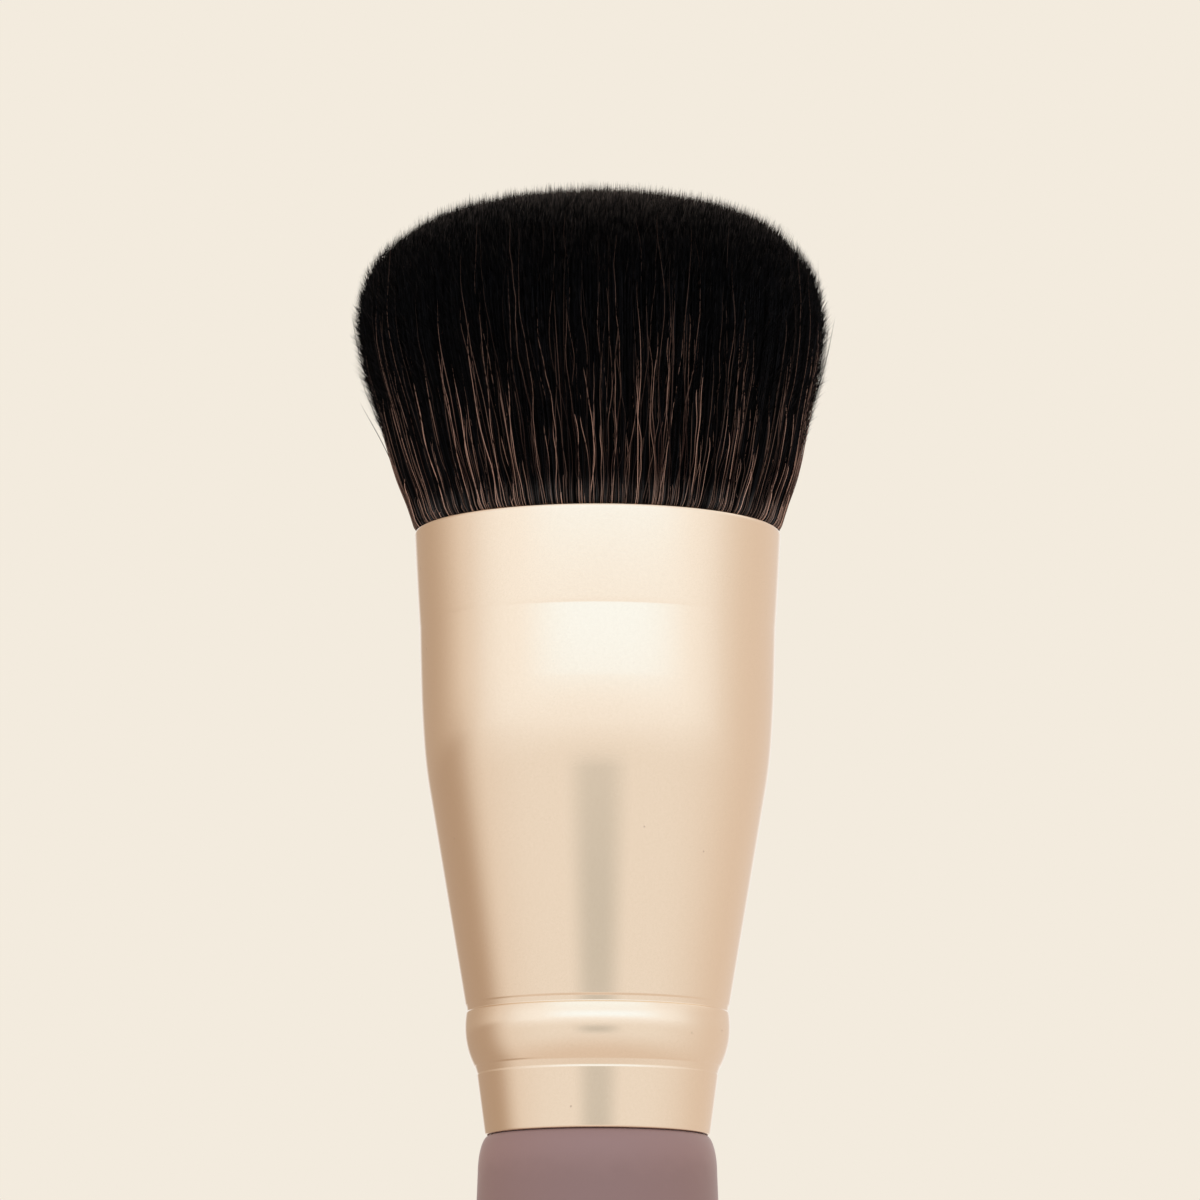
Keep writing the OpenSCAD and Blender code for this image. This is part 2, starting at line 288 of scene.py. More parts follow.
def makeStandCard():
    card = standCard
    reach = card["half"] + card["sideFade"]
    low, high = card["bottom"], card["top"]
    places = [(-reach, low), (reach, low), (reach, high), (-reach, high)]
    corners = [(x * mm, -card["inFront"] * mm, z * mm) for x, z in places]
    mesh = bpy.data.meshes.new("standCard")
    mesh.from_pydata(corners, [], [(0, 1, 2, 3)])
    material = bpy.data.materials.new("standCard")
    material.use_nodes = True
    tree = material.node_tree
    tree.nodes.clear()
    place = addNode(tree, "SeparateXYZ", {0: objectPlace(tree)}).outputs
    across = addSoftStep(tree, addMath(tree, "ABSOLUTE", place[0]), reach * mm, card["half"] * mm)
    above = addSoftStep(tree, place[2], low * mm, (low + card["bottomFade"]) * mm)
    below = addSoftStep(tree, place[2], high * mm, (high - card["topFade"]) * mm)
    below = addMath(tree, "POWER", below, card["topPower"])
    mask = multiply(tree, across, multiply(tree, above, below))
    clear = addNode(tree, "BsdfTransparent")
    grey = addNode(tree, "Emission", {"Color": (*card["colour"], 1.0)})
    either = addNode(tree, "MixShader", {0: mask, 1: clear.outputs[0], 2: grey.outputs[0]})
    output = addNode(tree, "OutputMaterial")
    tree.links.new(either.outputs[0], output.inputs["Surface"])
    mesh.materials.append(material)
    piece = addObject("standCard", mesh)
    piece.visible_camera = False
    piece.visible_diffuse = False
    piece.visible_shadow = False


makeStudio()
makeStandCard()
print("studio light made")


# Fine grain and wide patches of a surface, with their sizes in millimetres
def makeGrainGroup():
    sizes = {"Grain Size": 0.1, "Patch Size": 6.0, "Grain": 0.5, "Patches": 0.5}
    group, given, result = newGroup("surfaceGrain", sizes, ["Height", "Tone", "Patch"])
    place = objectPlace(group)
    fine = addNoise(group, place, addMath(group, "DIVIDE", 1000.0, given["Grain Size"]), 2.0, 0.6)
    wide = addNoise(group, place, addMath(group, "DIVIDE", 1000.0, given["Patch Size"]), 4.0, 0.55)
    grain = multiply(group, addMath(group, "SUBTRACT", fine, 0.5), given["Grain"])
    patches = multiply(group, addMath(group, "SUBTRACT", wide, 0.5), given["Patches"])
    tone = addMath(group, "ADD", addMath(group, "ADD", grain, patches), 0.5)
    group.links.new(fine, result["Height"])
    group.links.new(tone, result["Tone"])
    group.links.new(wide, result["Patch"])
    return group


# Sparse specks, for dust, tiny pits and bubbles
def makeSpeckGroup():
    group, given, result = newGroup("specks", {"Spacing": 3.0, "Size": 0.05}, ["Mask"])
    place = objectPlace(group)
    wobble = addNoise(group, place, 9000.0, 1.0)
    scale = addMath(group, "DIVIDE", 1000.0, given["Spacing"])
    cells = addNode(group, "TexVoronoi", {"Vector": place, "Scale": scale, "Randomness": 1.0})
    edge = addMath(group, "DIVIDE", given["Size"], given["Spacing"])
    uneven = multiply(group, edge, addMath(group, "ADD", wobble, 0.4))
    inner = multiply(group, uneven, 0.45)
    mask = addSoftStep(group, cells.outputs["Distance"], uneven, inner)
    group.links.new(mask, result["Mask"])
    return group


# Share of a band between two heights, with uneven ends, for worn edges and for bands of painted light
# and painted shadow
def makeBandGroup():
    group, given, result = newGroup("heightBand", {"Middle": 0.0, "Reach": 0.5}, ["Mask"])
    place = objectPlace(group)
    rubbed = addNoise(group, place, 900.0, 4.0)
    offset = addMath(group, "SUBTRACT", objectHeight(group, place), given["Middle"])
    offset = addMath(group, "ABSOLUTE", offset)
    reach = multiply(group, given["Reach"], addMath(group, "ADD", rubbed, 0.5))
    group.links.new(addSoftStep(group, offset, reach, 0.0), result["Mask"])
    return group


strandCells = 128  # columns of the OFBake map


# Each strand lies in one of the map's columns: U picks its tone, V runs from root to tip
def makeStrandGroup():
    group, given, result = newGroup(
        "strandTone", {"Cells": strandCells}, ["Tone", "Other", "Along"],
    )
    place = addNode(group, "UVMap", uv_map="OFBake").outputs["UV"]
    parts = addNode(group, "SeparateXYZ", {0: place})
    cell = addMath(group, "FLOOR", multiply(group, parts.outputs[0], given["Cells"]))
    otherCell = addMath(group, "ADD", cell, 517.0)
    first = addNode(group, "TexWhiteNoise", {"W": cell}, noise_dimensions="1D")
    second = addNode(group, "TexWhiteNoise", {"W": otherCell}, noise_dimensions="1D")
    group.links.new(first.outputs["Value"], result["Tone"])
    group.links.new(second.outputs["Value"], result["Other"])
    group.links.new(parts.outputs[1], result["Along"])
    return group


grainGroup = makeGrainGroup()
speckGroup = makeSpeckGroup()
bandGroup = makeBandGroup()
strandGroup = makeStrandGroup()


champagneMetal = {
    "colour": (0.925, 0.766, 0.588),
    "deepColour": (0.875, 0.712, 0.534),
    "wornColour": (0.93, 0.80, 0.64),
    "pitColour": (0.42, 0.31, 0.22),
    "roughness": 0.105,
    "grain": {"Grain Size": 0.11, "Patch Size": 9.0, "Grain": 1.3, "Patches": 0.5},
    "pits": {"Spacing": 2.4, "Size": 0.10},
    "lip": {"Middle": 144.45, "Reach": 0.35},
    "bead": {"Middle": 114.8, "Reach": 0.7},
}


def makeChampagneMetal():
    look = champagneMetal
    material, tree, shader = newMaterial("champagneMetal", look["colour"])
    grain = placeGroup(tree, grainGroup, look["grain"])
    pits = placeGroup(tree, speckGroup, look["pits"])["Mask"]
    lip = placeGroup(tree, bandGroup, look["lip"])["Mask"]
    crest = placeGroup(tree, bandGroup, look["bead"])["Mask"]
    worn = addMath(tree, "MAXIMUM", lip, multiply(tree, crest, 0.5))
    colour = addMix(tree, grain["Tone"], look["deepColour"], look["colour"])
    colour = layColour(tree, colour, worn, 0.35, look["wornColour"])
    colour = layColour(tree, colour, pits, 0.45, look["pitColour"])
    rough = addMath(tree, "MULTIPLY_ADD", grain["Patch"], 0.05, look["roughness"] - 0.025)
    rough = addMath(tree, "MULTIPLY_ADD", worn, -0.03, rough)
    rough = addMath(tree, "MULTIPLY_ADD", pits, 0.2, rough)
    setFinish(tree, shader, colour, rough)
    addBump(tree, shader, addMath(tree, "SUBTRACT", grain["Height"], pits), 0.05, 0.02)
    shader.inputs["Metallic"].default_value = 1.0
    return material


softTouch = {
    "colour": (0.262, 0.150, 0.136),
    "paleColour": (0.297, 0.180, 0.167),
    "wornAndLitColour": (0.352, 0.206, 0.189),
    "dustColour": (0.55, 0.47, 0.45),
    "roughness": 0.50,
    "specular": 0.52,
    "sheen": 0.24,
    "sheenRoughness": 0.36,
    "sheenTint": (1.0, 0.97, 1.0),
    "grain": {"Grain Size": 0.07, "Patch Size": 14.0, "Grain": 0.35, "Patches": 0.6},
    "dust": {"Spacing": 3.4, "Size": 0.06},
    # the neck band is partly wear and partly painted light on the shoulder, and the foot band is wear
    "neck": {"Middle": 107.5, "Reach": 2.3},
    "foot": {"Middle": 0.3, "Reach": 0.7},
}


def makeSoftTouch():
    look = softTouch
    material, tree, shader = newMaterial("softTouch", look["colour"])
    grain = placeGroup(tree, grainGroup, look["grain"])
    dust = placeGroup(tree, speckGroup, look["dust"])["Mask"]
    neck = placeGroup(tree, bandGroup, look["neck"])["Mask"]
    foot = placeGroup(tree, bandGroup, look["foot"])["Mask"]
    # Wear at the foot, and on the neck wear with painted light from above
    rubbed = addMath(tree, "MAXIMUM", neck, foot)
    colour = addMix(tree, grain["Tone"], look["colour"], look["paleColour"])
    colour = layColour(tree, colour, rubbed, 0.6, look["wornAndLitColour"])
    colour = layColour(tree, colour, dust, 0.35, look["dustColour"])
    rough = addMath(tree, "MULTIPLY_ADD", grain["Patch"], 0.16, look["roughness"] - 0.08)
    rough = addMath(tree, "MULTIPLY_ADD", rubbed, -0.08, rough)
    setFinish(tree, shader, colour, rough)
    addBump(tree, shader, grain["Height"], 0.10, 0.03)
    shader.inputs["Specular IOR Level"].default_value = look["specular"]
    shader.inputs["Sheen Weight"].default_value = look["sheen"]
    shader.inputs["Sheen Roughness"].default_value = look["sheenRoughness"]
    shader.inputs["Sheen Tint"].default_value = (*look["sheenTint"], 1.0)
    return material


turnedWood = {
    "colour": (0.60, 0.42, 0.24),
    "darkColour": (0.50, 0.32, 0.17),
    "paleColour": (0.68, 0.50, 0.30),
    # the next colour and the band after it are painted shadow where the tenon leaves the handle
    "jointShadowColour": (0.012, 0.008, 0.006),
    "jointShadow": {"Middle": 108.25, "Reach": 0.9},
}


# The near-black band where the tenon leaves the handle is painted shadow in the joint
def makeTurnedWood():
    look = turnedWood
    material, tree, shader = newMaterial("turnedWood", look["colour"])
    place = objectPlace(tree)
    stretched = addNode(tree, "Mapping", {"Vector": place, "Scale": (420.0, 300.0, 26.0)}).outputs[0]
    ringWave = {"Vector": stretched, "Scale": 1.4, "Distortion": 5.0, "Detail": 3.0}
    rings = addNode(tree, "TexWave", ringWave).outputs["Fac"]
    fibres = addNoise(tree, stretched, 9.0, 5.0)
    tone = addMath(tree, "MULTIPLY_ADD", fibres, 0.5, multiply(tree, rings, 0.5))
    colour = addMix(tree, tone, look["darkColour"], look["paleColour"])
    # Painted shadow in the gap under the metal
    jointShadow = placeGroup(tree, bandGroup, look["jointShadow"])["Mask"]
    jointShadow = addMath(tree, "MINIMUM", multiply(tree, jointShadow, 1.6), 1.0)
    colour = addMix(tree, jointShadow, colour, look["jointShadowColour"])
    setFinish(tree, shader, colour, addMath(tree, "MULTIPLY_ADD", fibres, 0.2, 0.5))
    addBump(tree, shader, tone, 0.3, 0.05)
    return material


castLook = {
    "grain": {"Grain Size": 0.3, "Patch Size": 2.5},
    "bubbles": {"Spacing": 0.7, "Size": 0.16},
    "bubbleColour": (0.95, 0.93, 0.88),
}


# Clear glue and cast resin: a pale body with bubbles and cloudy patches
def makeCastLook(name, clear, cloudy, roughness):
    material, tree, shader = newMaterial(name, clear)
    grain = placeGroup(tree, grainGroup, castLook["grain"])
    bubbles = placeGroup(tree, speckGroup, castLook["bubbles"])["Mask"]
    colour = addMix(tree, grain["Patch"], clear, cloudy)
    colour = layColour(tree, colour, bubbles, 0.5, castLook["bubbleColour"])
    rough = addMath(tree, "MULTIPLY_ADD", grain["Tone"], 0.2, roughness)
    setFinish(tree, shader, colour, rough)
    addBump(tree, shader, addMath(tree, "SUBTRACT", grain["Height"], bubbles), 0.3, 0.04)
    shader.inputs["Subsurface Weight"].default_value = 0.3
    shader.inputs["Subsurface Scale"].default_value = 0.001
    return material


tiedThread = {
    "colour": (0.72, 0.68, 0.60),
    # the next colour is painted shade in the hollows between the turns
    "deepColour": (0.42, 0.39, 0.33),
    "crestColour": (0.78, 0.74, 0.66),
}


def makeTiedThread():
    look = tiedThread
    material, tree, shader = newMaterial("tiedThread", look["colour"])
    place = objectPlace(tree)
    slanted = addNode(tree, "Mapping", {"Vector": place, "Rotation": (0.12, 0.0, 0.0)}).outputs[0]
    turnWave = {"Vector": slanted, "Scale": 900.0, "Distortion": 0.4}
    turns = addNode(tree, "TexWave", turnWave, bands_direction="Z").outputs["Fac"]
    plies = addNoise(tree, slanted, 5000.0, 2.0)
    # The hollows between the turns take the darker colour, which is painted shade
    colour = addMix(tree, turns, look["deepColour"], look["crestColour"])
    setFinish(tree, shader, colour, addMath(tree, "MULTIPLY_ADD", plies, 0.2, 0.65))
    addBump(tree, shader, turns, 0.7, 0.1)
    return material


filamentHeights = {
    # the paler tips on top are painted sheen
    "dome": (160.0, 164.6),  # the tips turn paler from the sides to the top
    "mouth": 144.8,  # up to here the light from the metal is full
    # the darkening of the brown ones on their way up is painted shade
    "shade": (158.5, 146.5),  # the brown ones darken on their way up
}


# A filament's colour runs from its root to its tip and differs from strand to strand.
# Light from the metal below makes it paler at the mouth.
def makeFilamentLook(name, look):
    material, tree, shader = newMaterial(name, look["root"])
    fromLow = lambda value, low: addMath(tree, "MULTIPLY_ADD", value, 1 - low, low)
    strand = placeGroup(tree, strandGroup, {"Cells": strandCells})
    along = strand["Along"]
    tone = strand["Tone"]
    height = objectHeight(tree, objectPlace(tree))
    # For the tips and the fuzz, the pale tip colour is painted sheen, which onTop makes grow from the
    # sides to the top of the dome
    atTip = addSoftStep(tree, along, look["tipFrom"], 1.0)
    paleTip = multiply(tree, atTip, addMath(tree, "POWER", tone, look["tipTone"]))
    onTop = addSoftStep(tree, height, *filamentHeights["dome"])
    paleTip = multiply(tree, paleTip, fromLow(onTop, look["tipSide"]))
    colour = addMix(tree, paleTip, look["root"], look["tip"])
    odd = addMath(tree, "LESS_THAN", strand["Other"], look["otherShare"])
    lowPart = addSoftStep(tree, along, 0.85, 0.3)
    colour = addMix(tree, multiply(tree, odd, lowPart), colour, look["other"])
    atMouth = addSoftStep(tree, height, look["mouthTop"], filamentHeights["mouth"])
    atMouth = multiply(tree, atMouth, addMath(tree, "POWER", tone, look["mouthTone"]))
    colour = layColour(tree, colour, atMouth, look["mouthShare"], look["mouth"])
    # Painted shade darkens the brown ones on their way up among the black ones
    shade = fromLow(addSoftStep(tree, height, *filamentHeights["shade"]), look["upper"])
    toneShade = addMath(tree, "POWER", tone, look["tonePower"])
    shade = multiply(tree, shade, fromLow(toneShade, look["toneLow"]))
    rippleNoise = {"W": multiply(tree, along, 22.0), "Detail": 1.0}
    ripple = addNode(tree, "TexNoise", rippleNoise, noise_dimensions="1D").outputs["Fac"]
    shade = multiply(tree, shade, addMath(tree, "MULTIPLY_ADD", ripple, 0.4, 0.8))
    grey = addNode(tree, "CombineColor", {0: shade, 1: shade, 2: shade}).outputs[0]
    rough = addMath(tree, "MULTIPLY_ADD", tone, 0.16, look["roughness"] - 0.08)
    setFinish(tree, shader, addMix(tree, 1.0, colour, grey, "MULTIPLY"), rough)
    shader.inputs["Specular IOR Level"].default_value = look["specular"]
    return material


# "other" is the colour of the lower part in a share of the strands. "upper" is how much
# colour the painted shade leaves at the upper end, and "toneLow" how much the darkest strand has.
blackFilament = {
    "root": (0.0112, 0.0109, 0.0124), "tip": (0.0110, 0.0100, 0.0102), "tipFrom": 0.93,
    "other": (0.016, 0.0088, 0.0068), "otherShare": 0.14,
    "mouth": (0.150, 0.142, 0.140), "mouthShare": 0.75, "mouthTone": 0.9, "mouthTop": 146.2,
    "tipTone": 1.6, "tipSide": 1.0,
    "upper": 1.0, "toneLow": 0.12, "tonePower": 2.0, "roughness": 0.44, "specular": 0.03,
}
# The pale tips of the next three are painted sheen, and tipSide is how much of it the sides of the dome
# keep
tipFilament = dict(
    blackFilament, root=(0.0049, 0.0046, 0.0050), tip=(0.40, 0.312, 0.255), tipFrom=0.84,
    tipTone=3.2, tipSide=0.20, otherShare=0.04, tonePower=1.2,
)
fuzzFilament = dict(
    blackFilament, root=(0.010, 0.008, 0.007), tip=(0.35, 0.272, 0.225), tipFrom=0.2,
    tipSide=0.25, otherShare=0.0,
)
sideFuzz = dict(
    blackFilament, root=(0.0088, 0.0080, 0.0084), tip=(0.068, 0.050, 0.043), tipFrom=0.4,
    tipTone=3.5, otherShare=0.1,
)
brownFilament = {
    "root": (0.90, 0.520, 0.388), "tip": (0.66, 0.366, 0.272), "tipFrom": 0.8,
    "other": (0.085, 0.040, 0.030), "otherShare": 0.76,
    "mouth": (0.95, 0.62, 0.49), "mouthShare": 0.60, "mouthTone": 0.6, "mouthTop": 146.6,
    "tipTone": 1.6, "tipSide": 1.0,
    "upper": 0.19, "toneLow": 0.10, "tonePower": 1.5, "roughness": 0.45, "specular": 0.14,
}

looks = {
    "metal": makeChampagneMetal(),
    "softTouch": makeSoftTouch(),
    "wood": makeTurnedWood(),
    "glue": makeCastLook("clearGlue", (0.80, 0.72, 0.52), (0.88, 0.83, 0.70), 0.18),
    "resin": makeCastLook("castResin", (0.56, 0.45, 0.26), (0.70, 0.60, 0.40), 0.30),
    "thread": makeTiedThread(),
    "black": makeFilamentLook("blackFilament", blackFilament),
    "tips": makeFilamentLook("filamentTips", tipFilament),
    "fuzz": makeFilamentLook("paleFuzz", fuzzFilament),
    "sideFuzz": makeFilamentLook("sideFuzz", sideFuzz),
    "brown": makeFilamentLook("brownFilament", brownFilament),
}
print("materials made:", len(looks))


def smooth(values, low, high):
    share = np.clip((values - low) / (high - low), 0, 1)
    return share * share * (3 - 2 * share)


def arcPoints(centre, radius, fromAngle, toAngle, steps):
    angles = np.radians(np.linspace(fromAngle, toAngle, steps + 1))
    return [(centre[0] + radius * math.cos(a), centre[1] + radius * math.sin(a)) for a in angles]


def makeMesh(name, points, faces, uvs, material):
    mesh = bpy.data.meshes.new(name)
    mesh.from_pydata(points, [], faces)
    layer = mesh.uv_layers.new(name="OFBake")
    layer.data.foreach_set("uv", np.asarray(uvs, np.float32).ravel())
    mesh.materials.append(material)
    mesh.shade_smooth()
    mesh.update()
    return addObject(name, mesh)


# Turns a profile of (radius, height) points. A closed profile makes a ring,
# an open one starts and ends on the axis.
def turnPiece(name, profile, material, closed, steps=256):
    length = [0.0]
    ring = profile + [profile[0]] if closed else profile
    for (r0, z0), (r1, z1) in zip(ring, ring[1:]):
        length.append(length[-1] + math.hypot(r1 - r0, z1 - z0))
    share = [value / length[-1] for value in length]
    turns = [2 * math.pi * k / steps for k in range(steps)]
    points, first = [], []
    for r, z in profile:
        first.append(len(points))
        if r < 1e-9:
            points.append((0.0, 0.0, z * mm))
        else:
            points += [(r * math.sin(a) * mm, -r * math.cos(a) * mm, z * mm) for a in turns]
    faces, uvs = [], []
    for i in range(len(ring) - 1):
        low, high = first[i], first[(i + 1) % len(profile)]
        lowPole = profile[i][0] < 1e-9
        highPole = profile[(i + 1) % len(profile)][0] < 1e-9
        for k in range(steps):
            after = (k + 1) % steps
            left, right = k / steps, (k + 1) / steps
            if lowPole:
                faces.append((low, high + after, high + k))
                uvs += [((left + right) / 2, share[i]), (right, share[i + 1]), (left, share[i + 1])]
            elif highPole:
                faces.append((low + k, low + after, high))
                uvs += [(left, share[i]), (right, share[i]), ((left + right) / 2, share[i + 1])]
            else:
                faces.append((low + k, low + after, high + after, high + k))
                uvs += [(left, share[i]), (right, share[i])]
                uvs += [(right, share[i + 1]), (left, share[i + 1])]
    return makeMesh(name, points, faces, uvs, material)


ferrule = {
    "wall": 0.45,
    "edgeRadius": 6.7,
    "edgeHeight": 108.3,
    "edgeBreak": 0.15,
    "collarRadius": 7.2,
    "lowGroove": 112.14,
    "highGroove": 115.79,
    "grooveDepth": 0.048,
    "lowWidth": 0.60,
    "highWidth": 0.54,
    "grooveWall": 0.138,  # how wide each sloping wall is
    "beadRadius": 7.89,
    "beadMiddle": 114.75,
    "beadCurve": 5.2,
    "coneFoot": 7.87,
    "cornerRadius": 10.42,
    "cornerHeight": 131.05,
    "cornerBlend": (30.0, 85.0),  # bend on the cone's side and on the barrel's side
    "cornerShare": 0.74,  # share of the turn that the first bend takes
    "mouthRadius": 11.0,
    "mouthHeight": 144.56,
    "lipOuter": 0.30,
    "lipInner": 0.14,
    "pressedLine": 138.66,  # height of the faint pressed line round the barrel
    "pressedDepth": 0.072,
    "pressedBlend": 0.05,
    "upperCrown": 0.012,  # how far the stretch above that line bulges
    "lowerCrown": 0.008,  # how far the stretch below it bulges
    "support": 0.04,  # how close the last rings of a straight stretch lie to its ends
}


# Rings along a straight stretch, so that its shading stays even up to its ends
def straightPoints(start, end, steps):
    near = ferrule["support"] / math.hypot(end[0] - start[0], end[1] - start[1])
    shares = [near, *[k / steps for k in range(1, steps)], 1 - near]
    return [(start[0] + (end[0] - start[0]) * s, start[1] + (end[1] - start[1]) * s) for s in shares]


# The floor of a groove rises by the given lean, so its two walls may differ in height
def groovePoints(r0, r1, height, width, lean, steps=28):
    points = []
    for s in [k / steps for k in range(steps + 1)]:
        low = float(smooth(s * width, 0, ferrule["grooveWall"]))
        high = float(smooth((1 - s) * width, 0, ferrule["grooveWall"]))
        floor = r1 - lean * (1 - s) * width
        radius = r0 + (floor - r0) * low - ferrule["grooveDepth"] * low * high
        points.append((radius, height + width * (s - 0.5)))
    return points


def ferruleProfile():
    f = ferrule
    lowHalf = f["lowWidth"] / 2
    highHalf = f["highWidth"] / 2
    beadCentre = (f["beadRadius"] - f["beadCurve"], f["beadMiddle"])
    beadAngle = lambda z: math.degrees(math.asin((z - beadCentre[1]) / f["beadCurve"]))
    beadAt = lambda z: beadCentre[0] + f["beadCurve"] * math.cos(math.radians(beadAngle(z)))
    coneRise = f["cornerHeight"] - f["highGroove"]
    coneLean = math.atan((f["cornerRadius"] - f["coneFoot"]) / coneRise)
    barrelRise = f["mouthHeight"] - f["cornerHeight"]
    barrelLean = math.atan((f["mouthRadius"] - f["cornerRadius"]) / barrelRise)
    collarRise = f["lowGroove"] - f["edgeHeight"]
    collarGrows = f["collarRadius"] - f["edgeRadius"]
    collarEnd = f["edgeRadius"] + collarGrows * (f["lowGroove"] - lowHalf - f["edgeHeight"]) / collarRise
    collarLean = math.degrees(math.atan(collarGrows / collarRise))
    breakCentre = (f["edgeRadius"] - f["edgeBreak"], f["edgeHeight"] + f["edgeBreak"])
    outer = arcPoints(breakCentre, f["edgeBreak"], -90, -collarLean, 6)
    beadFoot = beadAt(f["lowGroove"] + lowHalf)
    collarSlope = (beadFoot - collarEnd) / f["lowWidth"]
    collar = groovePoints(collarEnd, beadFoot, f["lowGroove"], f["lowWidth"], collarSlope)
    outer += straightPoints(outer[-1], collar[0], 8) + collar
    beadFrom = beadAngle(f["lowGroove"] + lowHalf)
    beadTo = beadAngle(f["highGroove"] - highHalf)
    outer += arcPoints(beadCentre, f["beadCurve"], beadFrom, beadTo, 40)[1:]
    beadTop = beadAt(f["highGroove"] - highHalf)
    coneSlope = math.tan(coneLean)
    outer += groovePoints(beadTop, f["coneFoot"], f["highGroove"], f["highWidth"], coneSlope)[1:]
    turn = coneLean - barrelLean
    firstTurn = turn * f["cornerShare"]
    midLean = coneLean - firstTurn
    tight, slow = f["cornerBlend"]
    back = (tight * firstTurn * (turn - firstTurn / 2) + slow * (turn - firstTurn) ** 2 / 2) / turn
    start = (
        f["cornerRadius"] - back * math.sin(coneLean),
        f["cornerHeight"] - back * math.cos(coneLean),
    )
    centre = (start[0] - tight * math.cos(coneLean), start[1] + tight * math.sin(coneLean))
    outer += straightPoints(outer[-1], start, 16)
    outer += arcPoints(centre, tight, -math.degrees(coneLean), -math.degrees(midLean), 32)
    centre = (outer[-1][0] - slow * math.cos(midLean), outer[-1][1] + slow * math.sin(midLean))
    outer += arcPoints(centre, slow, -math.degrees(midLean), -math.degrees(barrelLean), 32)[1:]
    barrelStart = outer[-1]
    lipStart = f["mouthHeight"] - f["lipOuter"] * (1 + math.sin(barrelLean))
    lineShare = (f["pressedLine"] - barrelStart[1]) / (lipStart - barrelStart[1])
    lineRadius = barrelStart[0] + (f["mouthRadius"] - barrelStart[0]) * lineShare - f["pressedDepth"]
    lean = (lineRadius - barrelStart[0]) / (f["pressedLine"] - barrelStart[1])
    above = (f["mouthRadius"] - lineRadius) / (lipStart - f["pressedLine"])
    blend = f["pressedBlend"]
    for z in np.linspace(barrelStart[1], f["pressedLine"] - blend, 17)[1:]:
        share = (z - barrelStart[1]) / (f["pressedLine"] - blend - barrelStart[1])
        crown = f["lowerCrown"] * 4 * share * (1 - share)
        outer.append((barrelStart[0] + lean * (z - barrelStart[1]) + crown, float(z)))
    for k in range(1, 6):
        z = f["pressedLine"] - blend + 2 * blend * k / 6
        below = barrelStart[0] + lean * (z - barrelStart[1])
        over = lineRadius + above * (z - f["pressedLine"])
        outer.append((below + (over - below) * (k / 6) ** 2 * (3 - 2 * k / 6), z))
    for z in np.linspace(f["pressedLine"] + blend, lipStart - f["support"], 17):
        share = (z - f["pressedLine"]) / (lipStart - f["pressedLine"])
        crown = f["upperCrown"] * 4 * share * (1 - share)
        outer.append((lineRadius + above * (z - f["pressedLine"]) + crown, float(z)))
    tilt = math.atan(above)
    outerCentre = (
        f["mouthRadius"] - f["lipOuter"] * math.cos(tilt),
        lipStart + f["lipOuter"] * math.sin(tilt),
    )
    innerCentre = (
        f["mouthRadius"] - f["wall"] + f["lipInner"],
        outerCentre[1] + f["lipOuter"] - f["lipInner"],
    )
    lip = arcPoints(outerCentre, f["lipOuter"], -math.degrees(tilt), 90, 16)
    lip += arcPoints(innerCentre, f["lipInner"], 90, 180, 10)
    inner = [(r - f["wall"], z) for r, z in outer[7:] if z < innerCentre[1] - f["support"]]
    inner = [(f["edgeRadius"] - f["wall"], f["edgeHeight"])] + inner
    return outer + lip + inner[::-1]


# The grip is straight between two heights, and narrows to the base and to the neck
handle = {
    "height": 108.285,
    "gripRadius": 7.75,
    "gripFrom": 30.0,
    "gripTo": 72.0,
    "baseRadius": 7.0,
    "baseEdge": 0.9,
    "neckRadius": 7.09,
    "neckHeight": 106.05,
    "shoulderIn": 0.67,
    "tenonRadius": 6.15,
    "coating": 0.2,
}


def handleOutline(inset):
    h = handle
    edgeCentre = (h["baseRadius"] - h["baseEdge"], h["baseEdge"])
    outline = arcPoints(edgeCentre, h["baseEdge"] - inset, -90, 0, 14)
    for share in np.linspace(0, 1, 33)[1:]:
        back = 1 - share
        radius = h["gripRadius"] - inset - (h["gripRadius"] - h["baseRadius"]) * back * back
        outline.append((float(radius), float(h["baseEdge"] + (h["gripFrom"] - h["baseEdge"]) * share)))
    for z in np.linspace(h["gripFrom"], h["gripTo"], 9)[1:-1]:
        outline.append((h["gripRadius"] - inset, float(z)))
    for share in np.linspace(0, 1, 33)[:-1]:
        radius = h["gripRadius"] - inset - (h["gripRadius"] - h["neckRadius"]) * share * share
        outline.append((float(radius), float(h["gripTo"] + (h["neckHeight"] - h["gripTo"]) * share)))
    rise = h["height"] - h["neckHeight"] - inset
    for angle in np.radians(np.linspace(0, 90, 25)):
        radius = h["neckRadius"] - h["shoulderIn"] + (h["shoulderIn"] - inset) * math.cos(angle)
        outline.append((float(radius), float(h["neckHeight"] + rise * math.sin(angle))))
    return outline


ferrulePiece = turnPiece("ferruleShell", ferruleProfile(), looks["metal"], closed=True)
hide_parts("ferrule")
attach(ferrulePiece, "root")
print("ferrule turned")

coatingProfile = [(0.0, 0.0)] + handleOutline(0.0)
coatingProfile += [(handle["tenonRadius"], handle["height"])]
coatingProfile += [(handle["tenonRadius"], handle["height"] - handle["coating"])]
coatingProfile += handleOutline(handle["coating"])[::-1][1:] + [(0.0, handle["coating"])]
coatingPiece = turnPiece("handleCoat", coatingProfile, looks["softTouch"], closed=False)
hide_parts("handle_coating")
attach(coatingPiece, "root")
print("handle coating turned")

# The inner parts keep their solids and take their own finishes
for nodeName, look in {
    "handle_core": "wood",
    "tenon_glue": "glue",
    "root_plug": "resin",
    "knot_thread": "thread",
}.items():
    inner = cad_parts[nodeName]
    inner.data.materials.clear()
    inner.data.materials.append(looks[look])
print("inner parts finished")

